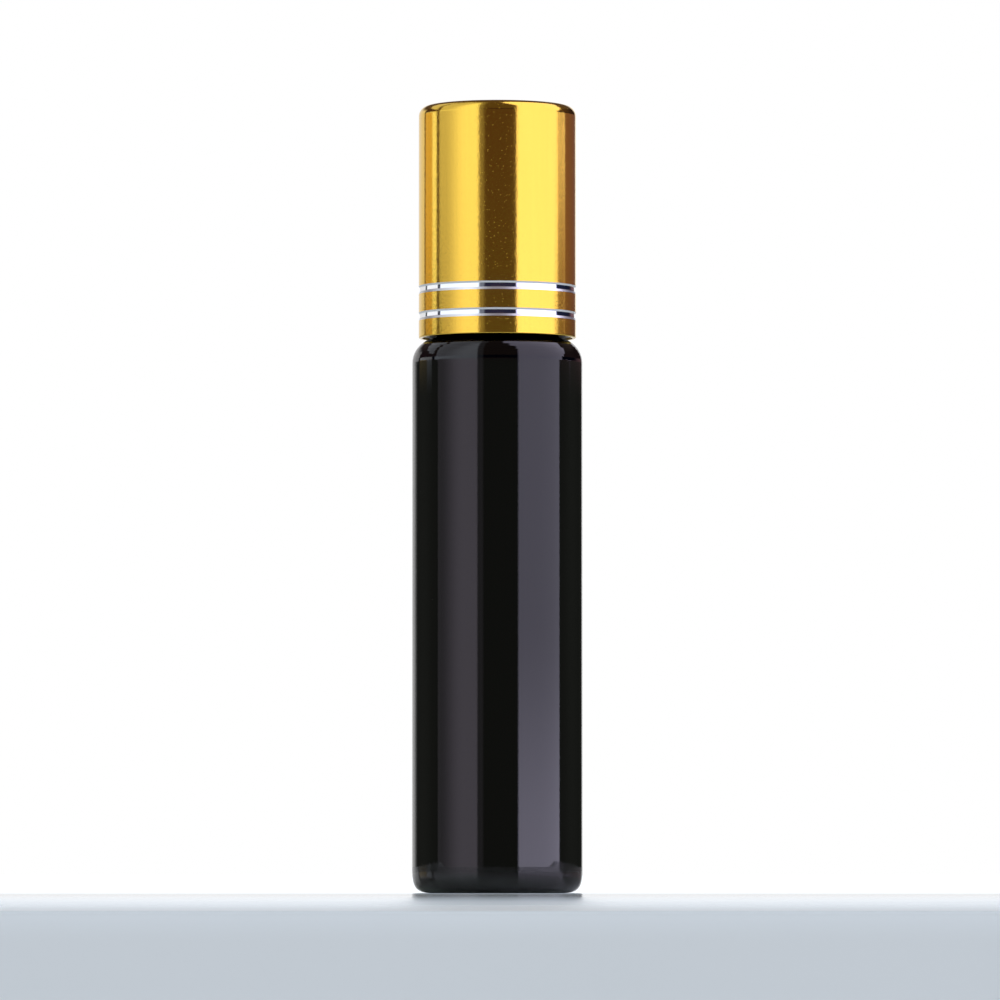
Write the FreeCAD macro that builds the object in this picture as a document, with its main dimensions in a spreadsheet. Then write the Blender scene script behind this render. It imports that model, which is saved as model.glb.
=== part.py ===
import FreeCAD
import Part
import Sketcher
import math
import os

# Driving sizes of the roll-on bottle in millimetres. Names that end in count have no unit.
SIZES = {
    # glass bottle
    "body_diameter": 18.6,
    "straight_height": 57.4,
    "body_wall": 1.1,
    "floor_thickness": 1.4,
    "push_up": 0.5,
    "foot_width": 0.9,
    "heel_radius": 1.7,
    "inside_heel_radius": 1.6,
    "shoulder_radius": 3.1,
    "neck_diameter": 13.2,
    "neck_height": 9.15,
    "neck_bore": 9.8,
    "neck_root_radius": 0.5,
    "bore_root_radius": 1.0,
    "bore_root_flat": 0.2,
    "lip_radius": 0.5,
    # ball and its moulded housing
    "ball_diameter": 9.0,
    "ball_clearance": 0.06,
    "grip_height": 1.55,
    "cup_wall": 1.2,
    "cup_edge_radius": 0.95,
    "collar_thickness": 1.0,
    "collar_ledge": 0.64,
    "collar_edge_radius": 0.3,
    "plug_length": 8.0,
    "plug_clearance": 0.1,
    "plug_wall": 0.9,
    "plug_chamfer": 0.5,
    "socket_wall": 0.65,
    "throat_diameter": 6.0,
    "throat_height": 0.9,
    "seal_ring_count": 3,
    "seal_ring_clearance": 0.02,
    "seal_ring_height": 0.7,
    "seal_ring_pitch": 1.8,
    "seal_ring_start": 1.2,
    "notch_count": 4,
    "notch_width": 0.9,
    "notch_depth": 0.6,
    # soft pad in the top of the inner cap
    "pad_thickness": 1.5,
    "pad_clearance": 0.1,
    "pad_gap": 0.1,
    "pad_edge_radius": 0.25,
    # inner cap
    "thread_room": 0.7,
    "cup_room": 0.25,
    "seat_gap": 0.1,
    "seat_width": 0.8,
    "step_thickness": 1.4,
    "liner_wall": 0.82,
    "liner_chamfer": 0.35,
    "liner_recess": 0.2,
    "thimble_wall": 1.0,
    "web_thickness": 1.2,
    "crown_hollow": 6.7,
    "bead_grip": 0.2,
    "bead_height": 0.3,
    "rib_count": 12,
    "rib_width": 0.8,
    # cap shell
    "glue_gap": 0.08,
    "shell_wall": 0.4,
    "rim_gap": 0.05,
    "rim_radius": 0.12,
    "crown_radius": 1.1,
    "band_count": 2,
    "band_start": 1.9,
    "band_width": 0.9,
    "band_depth": 0.1,
    "band_flare": 0.035,
    "band_low_slope": 0.25,
    "band_high_slope": 0.2,
    "band_pitch": 2.9,
    # how far a cut runs past the face that it opens, and a ridge into the wall that carries it
    "overrun": 0.3,
}

# Radii (names in r) and heights above the table (names in z) that follow from the driving sizes.
LAYOUT = {
    # glass bottle
    "body_r": "Sizes.body_diameter / 2",
    "heel_r": "body_r - Sizes.heel_radius",
    "heel_z": "Sizes.heel_radius",
    "foot_r": "heel_r - Sizes.foot_width",
    "push_up_z": "Sizes.push_up",
    "push_up_arc_r": "(foot_r ^ 2 + Sizes.push_up ^ 2) / (2 * Sizes.push_up)",
    "shoulder_z": "Sizes.straight_height",
    "shoulder_arc_r": "Sizes.shoulder_radius",
    "shoulder_axis_r": "body_r - Sizes.shoulder_radius",
    "shoulder_top_z": "shoulder_z + Sizes.shoulder_radius",
    "neck_r": "Sizes.neck_diameter / 2",
    "neck_base_z": "shoulder_z + sqrt(shoulder_arc_r ^ 2 - (neck_r - shoulder_axis_r) ^ 2)",
    "lip_z": "neck_base_z + Sizes.neck_height",
    "past_lip_z": "lip_z + Sizes.overrun",
    "floor_z": "Sizes.push_up + Sizes.floor_thickness",
    "cavity_r": "body_r - Sizes.body_wall",
    "inside_heel_arc_r": "Sizes.inside_heel_radius",
    "inside_heel_r": "cavity_r - Sizes.inside_heel_radius",
    "inside_heel_z": "floor_z + Sizes.inside_heel_radius",
    "bore_r": "Sizes.neck_bore / 2",
    "bore_root_r": "bore_r + Sizes.bore_root_radius + Sizes.bore_root_flat",
    "cavity_arc_r": "min(Sizes.shoulder_radius - Sizes.body_wall; cavity_r - bore_root_r)",
    "cavity_arc_axis_r": "cavity_r - cavity_arc_r",
    "cavity_top_z": "shoulder_z + cavity_arc_r",
    # ball: the lip plane cuts the socket where its wall is as thick as the plug allows
    "ball_r": "Sizes.ball_diameter / 2",
    "socket_r": "ball_r + Sizes.ball_clearance",
    "plug_r": "bore_r - Sizes.plug_clearance",
    "ball_z": "lip_z + sqrt(max(0; socket_r ^ 2 - (plug_r - Sizes.socket_wall) ^ 2))",
    "ball_top_z": "ball_z + ball_r",
    # housing outside
    "plug_bottom_z": "lip_z - Sizes.plug_length",
    "plug_nose_r": "plug_r - Sizes.plug_chamfer",
    "plug_nose_z": "plug_bottom_z + Sizes.plug_chamfer",
    "collar_top_z": "lip_z + Sizes.collar_thickness",
    "cup_r": "socket_r + Sizes.cup_wall",
    "collar_r": "cup_r + Sizes.collar_ledge",
    "mouth_z": "ball_z + Sizes.grip_height",
    "mouth_r": "sqrt(socket_r ^ 2 - Sizes.grip_height ^ 2)",
    "cup_edge_arc_r": "min(Sizes.cup_edge_radius; cup_r - mouth_r; (mouth_z - collar_top_z) / 2)",
    "cup_edge_r": "cup_r - cup_edge_arc_r",
    "cup_edge_z": "mouth_z - cup_edge_arc_r",
    # housing inside
    "plug_bore_r": "plug_r - Sizes.plug_wall",
    "below_plug_z": "plug_bottom_z - Sizes.overrun",
    "past_mouth_z": "mouth_z + Sizes.overrun",
    "throat_r": "Sizes.throat_diameter / 2",
    "seat_z": "ball_z - sqrt(max(0; socket_r ^ 2 - throat_r ^ 2))",
    "throat_z": "seat_z - Sizes.throat_height",
    "notch_r": "throat_r + Sizes.notch_depth",
    "notch_top_z": "ball_z - sqrt(max(0; socket_r ^ 2 - notch_r ^ 2))",
    "notch_reach": "notch_top_z - throat_z + Sizes.overrun",
    "notch_half": "Sizes.notch_width / 2",
    # sealing rings on the plug
    "ring_root_r": "plug_r - Sizes.overrun",
    "ring_r": "bore_r - Sizes.seal_ring_clearance",
    "ring_low_z": "plug_bottom_z + Sizes.seal_ring_start",
    "ring_top_z": "ring_low_z + Sizes.seal_ring_height",
    # inner cap and pad
    "step_z": "collar_top_z + Sizes.seat_gap",
    "step_top_z": "step_z + Sizes.step_thickness",
    "room_r": "cup_r + Sizes.cup_room",
    "liner_bore_r": "max(neck_r + Sizes.thread_room; room_r + Sizes.seat_width)",
    "liner_r": "liner_bore_r + Sizes.liner_wall",
    "rim_z": "shoulder_top_z + Sizes.rim_gap",
    "skirt_z": "rim_z + Sizes.liner_recess",
    "lead_in_r": "liner_bore_r + Sizes.liner_chamfer",
    "lead_in_z": "skirt_z + Sizes.liner_chamfer",
    "pad_r": "room_r - Sizes.pad_clearance",
    "pad_z": "ball_top_z + Sizes.pad_gap",
    "web_z": "pad_z + Sizes.pad_thickness",
    "web_top_z": "web_z + Sizes.web_thickness",
    "thimble_r": "room_r + Sizes.thimble_wall",
    "liner_top_z": "web_top_z + Sizes.crown_hollow",
    "bead_root_r": "room_r + Sizes.overrun",
    "bead_r": "pad_r - Sizes.bead_grip",
    "bead_top_z": "pad_z - Sizes.pad_gap",
    "bead_tip_z": "bead_top_z - Sizes.bead_height",
    "bead_low_z": "bead_tip_z - Sizes.bead_height",
    "rib_root_r": "thimble_r - min(Sizes.overrun; Sizes.thimble_wall / 2)",
    "rib_half": "Sizes.rib_width / 2",
    "rib_reach": "liner_top_z - Sizes.crown_radius - step_top_z",
    # cap shell
    "shell_bore_r": "liner_r + Sizes.glue_gap",
    "shell_r": "shell_bore_r + Sizes.shell_wall",
    "ceiling_z": "liner_top_z + Sizes.glue_gap",
    "shell_top_z": "ceiling_z + Sizes.shell_wall",
    "crown_arc_r": "Sizes.crown_radius",
    "crown_r": "shell_r - crown_arc_r",
    "crown_z": "shell_top_z - crown_arc_r",
    "ceiling_arc_r": "max(crown_arc_r - Sizes.shell_wall; Sizes.shell_wall / 2)",
    "ceiling_r": "shell_bore_r - ceiling_arc_r",
    "ceiling_edge_z": "ceiling_z - ceiling_arc_r",
    "rim_arc_r": "min(Sizes.rim_radius; Sizes.shell_wall / 2)",
    "band_z": "rim_z + Sizes.band_start",
    "band_top_z": "band_z + Sizes.band_width",
    "band_low_r": "shell_r - Sizes.band_depth",
    "band_low_z": "band_z + Sizes.band_low_slope",
    "band_high_r": "band_low_r + min(Sizes.band_flare; Sizes.band_depth / 2)",
    "band_high_z": "max(band_top_z - Sizes.band_high_slope; band_low_z + Sizes.band_depth)",
    "past_shell_r": "shell_r + Sizes.overrun",
}

# Two edges are the same ring when their radius and height agree this closely, as a share of the radius.
MATCH_SHARE = 1e-5

# Which way an arc of an outline turns.
LEFT = 1
RIGHT = -1


def make_sheet(doc):
    sheet = doc.addObject("Spreadsheet::Sheet", "Sizes")
    for row, (name, value) in enumerate(SIZES.items(), 1):
        sheet.set(f"A{row}", name)
        sheet.set(f"B{row}", str(value))
        sheet.setAlias(f"B{row}", name)
    doc.recompute()


def make_layout(doc):
    layout = doc.addObject("App::VarSet", "Layout")
    for name in LAYOUT:
        layout.addProperty("App::PropertyFloat", name, "Layout")
    for name, formula in LAYOUT.items():
        layout.setExpression(name, formula)
    doc.recompute()


def place_of(doc, name):
    return 0.0 if name == 0 else getattr(doc.Layout, name)


def make_body(doc, label):
    body = doc.addObject("PartDesign::Body", label)
    body.Label = label
    return body


def make_sketch(body, name, role):
    sketch = body.newObject("Sketcher::SketchObject", name)
    plane = next(part for part in body.Origin.OriginFeatures if part.Role == role)
    sketch.AttachmentSupport = [(plane, "")]
    sketch.MapMode = "FlatFace"
    return sketch


def bind(sketch, constraint, name):
    index = sketch.addConstraint(constraint)
    sketch.setExpression(f"Constraints[{index}]", f"Layout.{name}")


def add_arc(sketch, start, end, radius, turn):
    """Adds the shorter arc from start to end and returns its number and its first and last point."""
    chord = end - start
    across = FreeCAD.Vector(-chord.y, chord.x, 0) * (turn / chord.Length)
    offset = math.sqrt(max(0.0, radius ** 2 - (chord.Length / 2) ** 2))
    centre = start + chord * 0.5 + across * offset
    angles = [math.atan2(point.y - centre.y, point.x - centre.x) for point in (start, end)]
    circle = Part.Circle(centre, FreeCAD.Vector(0, 0, 1), radius)
    number = sketch.addGeometry(Part.ArcOfCircle(circle, *angles[::turn]))
    return (number, 1, 2) if turn == LEFT else (number, 2, 1)


def fix_corner(sketch, number, point, across, up):
    """Ties one corner to its two named places; a zero puts it on that axis of the sketch."""
    if across == 0 and up == 0:
        sketch.addConstraint(Sketcher.Constraint("Coincident", number, point, -1, 1))
        return
    for name, kind, axis in ((across, "DistanceX", -2), (up, "DistanceY", -1)):
        if name == 0:
            sketch.addConstraint(Sketcher.Constraint("PointOnObject", number, point, axis))
        else:
            value = place_of(sketch.Document, name)
            bind(sketch, Sketcher.Constraint(kind, -1, 1, number, point, value), name)


def draw_outline(body, name, outline):
    """Draws a closed half-section in the XZ plane.

    Each corner is (radius, height), or (radius, height, arc radius, turn) where an arc leads on from it.
    """
    doc = body.Document
    sketch = make_sketch(body, name, "XZ_Plane")
    points = [FreeCAD.Vector(place_of(doc, c[0]), place_of(doc, c[1]), 0) for c in outline]
    sides = []
    for corner, start, end in zip(outline, points, points[1:] + points[:1]):
        if len(corner) == 2:
            sides.append((sketch.addGeometry(Part.LineSegment(start, end)), 1, 2))
        else:
            sides.append(add_arc(sketch, start, end, place_of(doc, corner[2]), corner[3]))
    for corner, side, last in zip(outline, sides, sides[-1:] + sides[:-1]):
        number, first, _ = side
        sketch.addConstraint(Sketcher.Constraint("Coincident", last[0], last[2], number, first))
        fix_corner(sketch, number, first, corner[0], corner[1])
        if len(corner) > 2:
            radius = place_of(doc, corner[2])
            bind(sketch, Sketcher.Constraint("Radius", number, radius), corner[2])
    return sketch


def draw_slot(body, name, inner, outer, half, height):
    """Draws a radial bar, centred on the X axis and level with the given height."""
    sketch = make_sketch(body, name, "XY_Plane")
    sketch.setExpression("AttachmentOffset.Base.z", f"Layout.{height}")
    doc = body.Document
    low, high, side = (place_of(doc, value) for value in (inner, outer, half))
    corners = [(low, -side), (high, -side), (high, side), (low, side)]
    points = [FreeCAD.Vector(x, y, 0) for x, y in corners]
    for number in range(4):
        sketch.addGeometry(Part.LineSegment(points[number], points[(number + 1) % 4]))
    for number in range(4):
        sketch.addConstraint(Sketcher.Constraint("Coincident", number, 2, (number + 1) % 4, 1))
    for number, kind in ((0, "Horizontal"), (2, "Horizontal"), (3, "Vertical")):
        sketch.addConstraint(Sketcher.Constraint(kind, number))
    sketch.addConstraint(Sketcher.Constraint("Symmetric", 1, 1, 1, 2, -1))
    bind(sketch, Sketcher.Constraint("DistanceY", -1, 1, 1, 2, side), half)
    bind(sketch, Sketcher.Constraint("DistanceX", -1, 1, 1, 2, high), outer)
    if inner == 0:
        sketch.addConstraint(Sketcher.Constraint("PointOnObject", 3, 1, -2))
    else:
        bind(sketch, Sketcher.Constraint("DistanceX", -1, 1, 3, 1, low), inner)
    return sketch


def finish_feature(body, feature, adds, first=False):
    """Recomputes and makes sure that the feature added or took material as it should."""
    before = 0.0 if first else body.Tip.BaseFeature.Shape.Volume
    body.Document.recompute()
    change = body.Shape.Volume - before
    if change == 0 or (change > 0) != adds:
        raise RuntimeError(f"{feature.Label} did not change {body.Label} as meant")
    return feature


def revolve(body, name, outline, adds=True):
    """Turns an outline about the bottle's axis, to add material or to take it away."""
    first = body.Tip is None
    sketch = draw_outline(body, f"{name}_outline", outline)
    body.Document.recompute()
    kind = "PartDesign::Revolution" if adds else "PartDesign::Groove"
    feature = body.newObject(kind, name)
    feature.Profile = sketch
    feature.ReferenceAxis = (sketch, ["V_Axis"])
    return finish_feature(body, feature, adds, first)


def extrude(body, name, sketch, length, adds=True):
    """Pads a sketch upwards, or cuts it downwards, by a named length."""
    body.Document.recompute()
    feature = body.newObject("PartDesign::Pad" if adds else "PartDesign::Pocket", name)
    feature.Profile = sketch
    feature.setExpression("Length", f"Layout.{length}")
    return finish_feature(body, feature, adds)


def repeat_round(body, name, feature, count):
    pattern = body.newObject("PartDesign::PolarPattern", name)
    pattern.Originals = [feature]
    pattern.Axis = (feature.Profile[0], ["N_Axis"])
    pattern.setExpression("Occurrences", f"Sizes.{count}")
    body.Tip = pattern
    body.Document.recompute()


def repeat_up(body, name, feature, count, pitch):
    pattern = body.newObject("PartDesign::LinearPattern", name)
    pattern.Originals = [feature]
    pattern.Direction = (feature.Profile[0], ["V_Axis"])
    pattern.setExpression("Occurrences", f"Sizes.{count}")
    pattern.setExpression("Length", f"Sizes.{pitch} * (Sizes.{count} - 1)")
    body.Tip = pattern
    body.Document.recompute()


def ring_names(shape, radius, height):
    """Names the circular edges of a shape that have this radius and height."""
    slack = radius * MATCH_SHARE
    names = []
    for number, edge in enumerate(shape.Edges, 1):
        if edge.Degenerated or not isinstance(edge.Curve, Part.Circle):
            continue
        same_radius = abs(edge.Curve.Radius - radius) < slack
        same_height = abs(edge.Curve.Center.z - height) < slack
        if same_radius and same_height:
            names.append(f"Edge{number}")
    return names


def round_rings(body, name, rings, radius):
    """Rounds the ring edges that lie at the named radii and heights."""
    doc = body.Document
    base = body.Tip
    edges = []
    for ring_r, ring_z in rings:
        edges += ring_names(base.Shape, place_of(doc, ring_r), place_of(doc, ring_z))
    fillet = body.newObject("PartDesign::Fillet", name)
    fillet.Base = (base, edges)
    fillet.setExpression("Radius", radius)
    doc.recompute()


def make_glass_bottle(doc):
    body = make_body(doc, "glass_bottle")
    outside = [
        (0, 0),
        ("heel_r", 0, "heel_z", LEFT),
        ("body_r", "heel_z"),
        ("body_r", "shoulder_z", "shoulder_arc_r", LEFT),
        ("neck_r", "neck_base_z"),
        ("neck_r", "lip_z"),
        (0, "lip_z"),
    ]
    revolve(body, "glass", outside)
    cavity = [
        (0, "floor_z"),
        ("inside_heel_r", "floor_z", "inside_heel_arc_r", LEFT),
        ("cavity_r", "inside_heel_z"),
        ("cavity_r", "shoulder_z", "cavity_arc_r", LEFT),
        ("cavity_arc_axis_r", "cavity_top_z"),
        ("bore_r", "cavity_top_z"),
        ("bore_r", "past_lip_z"),
        (0, "past_lip_z"),
    ]
    revolve(body, "cavity", cavity, adds=False)
    push_up = [
        (0, 0),
        ("foot_r", 0, "push_up_arc_r", LEFT),
        (0, "push_up_z"),
    ]
    revolve(body, "base_push_up", push_up, adds=False)
    round_rings(body, "neck_root", [("neck_r", "neck_base_z")], "Sizes.neck_root_radius")
    round_rings(body, "bore_root", [("bore_r", "cavity_top_z")], "Sizes.bore_root_radius")
    lip = [("neck_r", "lip_z"), ("bore_r", "lip_z")]
    round_rings(body, "lip", lip, "min(Sizes.lip_radius; (Layout.neck_r - Layout.bore_r) / 3)")
    return body


def make_ball_housing(doc):
    """Plug, collar and cup in one moulding, with a spherical socket that grips the ball past its middle."""
    body = make_body(doc, "ball_housing")
    outside = [
        (0, "plug_bottom_z"),
        ("plug_nose_r", "plug_bottom_z"),
        ("plug_r", "plug_nose_z"),
        ("plug_r", "lip_z"),
        ("collar_r", "lip_z"),
        ("collar_r", "collar_top_z"),
        ("cup_r", "collar_top_z"),
        ("cup_r", "cup_edge_z", "cup_edge_arc_r", LEFT),
        ("cup_edge_r", "mouth_z"),
        (0, "mouth_z"),
    ]
    revolve(body, "moulding", outside)
    inside = [
        (0, "below_plug_z"),
        ("plug_bore_r", "below_plug_z"),
        ("plug_bore_r", "throat_z"),
        ("throat_r", "throat_z"),
        ("throat_r", "seat_z", "socket_r", LEFT),
        ("mouth_r", "mouth_z"),
        ("mouth_r", "past_mouth_z"),
        (0, "past_mouth_z"),
    ]
    revolve(body, "socket_and_bore", inside, adds=False)
    slot = draw_slot(body, "feed_notch_outline", 0, "notch_r", "notch_half", "notch_top_z")
    notch = extrude(body, "feed_notch", slot, "notch_reach", adds=False)
    repeat_round(body, "feed_notches", notch, "notch_count")
    ring = [
        ("ring_root_r", "ring_low_z"),
        ("plug_r", "ring_low_z"),
        ("ring_r", "ring_top_z"),
        ("ring_root_r", "ring_top_z"),
    ]
    seal_ring = revolve(body, "seal_ring", ring)
    repeat_up(body, "seal_rings", seal_ring, "seal_ring_count", "seal_ring_pitch")
    collar_edge = "min(Sizes.collar_edge_radius; Sizes.collar_thickness / 2)"
    round_rings(body, "collar_edge", [("collar_r", "collar_top_z")], collar_edge)
    return body


def make_roller_ball(doc):
    ball = doc.addObject("Part::Sphere", "roller_ball")
    ball.Label = "roller_ball"
    ball.setExpression("Radius", "Layout.ball_r")
    ball.setExpression("Placement.Base.z", "Layout.ball_z")
    return ball


def make_seal_pad(doc):
    body = make_body(doc, "seal_pad")
    disc = [
        (0, "pad_z"),
        ("pad_r", "pad_z"),
        ("pad_r", "web_z"),
        (0, "web_z"),
    ]
    revolve(body, "disc", disc)
    rings = [("pad_r", "pad_z"), ("pad_r", "web_z")]
    round_rings(body, "pad_edges", rings, "min(Sizes.pad_edge_radius; Sizes.pad_thickness / 3)")
    return body


def make_inner_cap(doc):
    """Skirt for the thread, a step that lands on the collar, and a ribbed thimble over the ball."""
    body = make_body(doc, "inner_cap")
    section = [
        ("lead_in_r", "skirt_z"),
        ("liner_r", "skirt_z"),
        ("liner_r", "step_top_z"),
        ("thimble_r", "step_top_z"),
        ("thimble_r", "liner_top_z"),
        ("room_r", "liner_top_z"),
        ("room_r", "web_top_z"),
        (0, "web_top_z"),
        (0, "web_z"),
        ("room_r", "web_z"),
        ("room_r", "step_z"),
        ("liner_bore_r", "step_z"),
        ("liner_bore_r", "lead_in_z"),
    ]
    revolve(body, "moulding", section)
    bead = [
        ("bead_root_r", "bead_low_z"),
        ("room_r", "bead_low_z"),
        ("bead_r", "bead_tip_z"),
        ("room_r", "bead_top_z"),
        ("bead_root_r", "bead_top_z"),
    ]
    revolve(body, "pad_bead", bead)
    bar = draw_slot(body, "rib_outline", "rib_root_r", "liner_r", "rib_half", "step_top_z")
    rib = extrude(body, "rib", bar, "rib_reach")
    repeat_round(body, "ribs", rib, "rib_count")
    return body


def make_cap_shell(doc):
    """Thin drawn cup with a rounded crown and shallow turned grooves above its rim."""
    body = make_body(doc, "cap_shell")
    section = [
        ("shell_bore_r", "rim_z"),
        ("shell_r", "rim_z"),
        ("shell_r", "crown_z", "crown_arc_r", LEFT),
        ("crown_r", "shell_top_z"),
        (0, "shell_top_z"),
        (0, "ceiling_z"),
        ("ceiling_r", "ceiling_z", "ceiling_arc_r", RIGHT),
        ("shell_bore_r", "ceiling_edge_z"),
    ]
    revolve(body, "cup", section)
    band = [
        ("past_shell_r", "band_z"),
        ("past_shell_r", "band_top_z"),
        ("shell_r", "band_top_z"),
        ("band_high_r", "band_high_z"),
        ("band_low_r", "band_low_z"),
        ("shell_r", "band_z"),
    ]
    groove = revolve(body, "band", band, adds=False)
    repeat_up(body, "bands", groove, "band_count", "band_pitch")
    rim = [("shell_r", "rim_z")]
    round_rings(body, "rim_edge", rim, "Layout.rim_arc_r")
    return body


def check_document(doc, parts):
    failed = [thing.Label for thing in doc.Objects if {"Invalid", "Error"} & set(thing.State)]
    if failed:
        raise RuntimeError(f"failed: {failed}")
    for part in parts:
        if part.Shape.isNull() or not part.Shape.isValid() or len(part.Shape.Solids) != 1:
            raise RuntimeError(f"{part.Label} is not one valid solid")


def main():
    doc = FreeCAD.newDocument("roll_on_bottle")
    make_sheet(doc)
    make_layout(doc)
    makers = (
        make_glass_bottle,
        make_ball_housing,
        make_roller_ball,
        make_seal_pad,
        make_inner_cap,
        make_cap_shell,
    )
    parts = [maker(doc) for maker in makers]
    doc.recompute()
    check_document(doc, parts)
    os.makedirs("parts", exist_ok=True)
    for part in parts:
        part.Shape.exportStep(f"parts/{part.Label}.step")
        print(part.Label, round(part.Shape.Volume, 2), part.Shape.BoundBox)


main()
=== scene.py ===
import math

import bpy
import numpy as np
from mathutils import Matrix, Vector


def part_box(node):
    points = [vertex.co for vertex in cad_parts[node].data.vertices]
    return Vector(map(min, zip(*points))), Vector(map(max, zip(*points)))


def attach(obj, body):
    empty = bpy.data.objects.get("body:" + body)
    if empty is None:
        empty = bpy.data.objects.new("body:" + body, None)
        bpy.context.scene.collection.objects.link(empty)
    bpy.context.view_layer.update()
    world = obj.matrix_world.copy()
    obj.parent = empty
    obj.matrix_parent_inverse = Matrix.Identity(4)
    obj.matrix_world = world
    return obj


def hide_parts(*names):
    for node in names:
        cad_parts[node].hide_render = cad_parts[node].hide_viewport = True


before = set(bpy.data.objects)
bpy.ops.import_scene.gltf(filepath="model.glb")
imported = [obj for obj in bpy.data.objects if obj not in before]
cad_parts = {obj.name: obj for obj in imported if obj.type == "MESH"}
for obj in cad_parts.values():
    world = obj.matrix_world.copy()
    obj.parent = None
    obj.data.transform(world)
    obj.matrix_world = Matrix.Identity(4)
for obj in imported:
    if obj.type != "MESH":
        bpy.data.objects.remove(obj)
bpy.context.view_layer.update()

MM = 0.001
TAU = 2 * math.pi

# Fineness of the turned pieces: steps around the axis and in a quarter of an arc, and the width of the
# margin beside each corner that keeps smooth shading out of the straight stretches.
ROUND_STEPS = 288
QUARTER_STEPS = 12
MARGIN = 0.03 * MM
SHARP_ANGLE = math.radians(32)

# Which way an arc of an outline turns.
LEFT = 1
RIGHT = -1

# Glass bottle.
HEEL_HEIGHT = 3.5 * MM
HEEL_WIDTH = 2.7 * MM
HEEL_POWER = 4.0
HEEL_STEPS = 40
PUSH_UP = 0.5 * MM
FLOOR_Z = 1.9 * MM
BODY_WALL = 1.1 * MM
INSIDE_HEEL_RADIUS = 1.6 * MM
SHOULDER_Z = 57.83 * MM
SHOULDER_RADIUS = 2.7 * MM
CAVITY_SHOULDER_RADIUS = 1.6 * MM
NECK_R = 6.6 * MM
NECK_ROOT_RADIUS = 0.5 * MM
BORE_R = 4.9 * MM
BORE_ROOT_RADIUS = 1.0 * MM
LIP_RADIUS = 0.5 * MM

# Screw thread: the neck's ridge and the liner's ridge lie on one helix, half a lead apart.
THREAD_LEAD = 3.2 * MM
THREAD_TURNS = 1.6
THREAD_HALF_WIDTH = 0.72 * MM
THREAD_FLANK = 0.42 * MM
THREAD_RUN_OUT = 0.14
THREAD_STEP = 0.09 * MM
NECK_THREAD_Z = 62.6 * MM
NECK_THREAD_HEIGHT = 0.52 * MM
LINER_THREAD_HEIGHT = 0.5 * MM

# Ball housing.
PLUG_R = 4.8 * MM
PLUG_NOSE = 0.5 * MM
PLUG_BORE_R = 3.9 * MM
SEAL_RING_R = 4.88 * MM
SEAL_RING_START = 1.2 * MM
SEAL_RING_HEIGHT = 0.7 * MM
SEAL_RING_PITCH = 1.8 * MM
SEAL_RING_COUNT = 3
COLLAR_THICKNESS = 1.0 * MM
COLLAR_EDGE = 0.3 * MM
CUP_R = 5.76 * MM
CUP_EDGE = 0.95 * MM
SOCKET_CLEARANCE = 0.06 * MM
THROAT_R = 3.0 * MM
THROAT_HEIGHT = 0.9 * MM
NOTCH_COUNT = 4
NOTCH_WIDTH = 0.9 * MM
NOTCH_DEPTH = 0.6 * MM
MOUTH_EDGE = 0.08 * MM

# Soft pad.
PAD_EDGE = 0.25 * MM
IMPRINT_R = 2.3 * MM
IMPRINT_DEPTH = 0.12 * MM

# Inner cap.
LINER_BORE_R = 7.3 * MM
LEAD_IN = 0.35 * MM
STEP_Z = 70.724 * MM
STEP_TOP_Z = 72.124 * MM
ROOM_R = 6.01 * MM
THIMBLE_R = 7.01 * MM
WEB_THICKNESS = 1.2 * MM
BEAD_R = 5.71 * MM
BEAD_HEIGHT = 0.3 * MM
RIB_COUNT = 12
RIB_WIDTH = 0.8 * MM
RIB_TOP_GAP = 1.1 * MM
MOULD_EDGE = 0.12 * MM

# Gold shell.
SHELL_WALL = 0.4 * MM
RIM_EDGE = 0.12 * MM
CROWN_RADIUS = 1.1 * MM
BAND_START = 1.9 * MM
BAND_WIDTH = 0.9 * MM
BAND_DEPTH = 0.1 * MM
BAND_PITCH = 2.9 * MM
BAND_COUNT = 2
BAND_FLARE = -0.03 * MM
BAND_LOW_SLOPE = 0.25 * MM
BAND_HIGH_SLOPE = 0.2 * MM

# Camera: the photograph's pixels, and the distances that its perspective gives.
PHOTO_SIZE = 1000
FOCAL_PIXELS = 7800
HORIZON_PIXEL = 870
SENSOR_WIDTH = 36.0
CAMERA_X = 0.29 * MM
CAMERA_Y = -851 * MM
CAMERA_Z = 2.5 * MM
CAMERA_CLIP_START = 10 * MM

# Table. Its glow is what the camera alone sees: along the front of the top, behind the object, and high on
# the front face.
TABLE_FRONT_Y = -0.375
TABLE_BACK_Y = 3.0
TABLE_HALF_WIDTH = 3.0
TABLE_DEPTH = 0.30
TABLE_EDGE = 0.3 * MM
TABLE_TONES = ((0.655, 0.755, 0.675, 1), (0.675, 0.775, 0.695, 1))
TABLE_GRAIN_SIZE = 30 * MM
TABLE_ROUGHNESS = (0.34, 0.11)
TABLE_SATIN_Y = -0.12
TABLE_GLOW_COLOR = (0.82, 1.0, 1.22, 1)
TABLE_GLOW_FACING = (0.3, 0.9)
TABLE_FRONT_GLOW = 0.17
TABLE_FRONT_GLOW_Y = (-0.25, -0.06)
TABLE_FRONT_DIM = 0.08
TABLE_FRONT_DIM_Y = (-0.385, -0.29)
TABLE_BACK_GLOW = 0.3
TABLE_BACK_GLOW_Y = (-0.07, 0.05)
TABLE_FACE_GLOW = 0.045
TABLE_FACE_GLOW_DEPTH = 2 * MM

# Materials: the size, stretch and height of their marks, and roughness from the smoothest spots on.
EVEN = (1, 1, 1)
NOISE_SPREAD = (0.3, 0.7)

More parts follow.
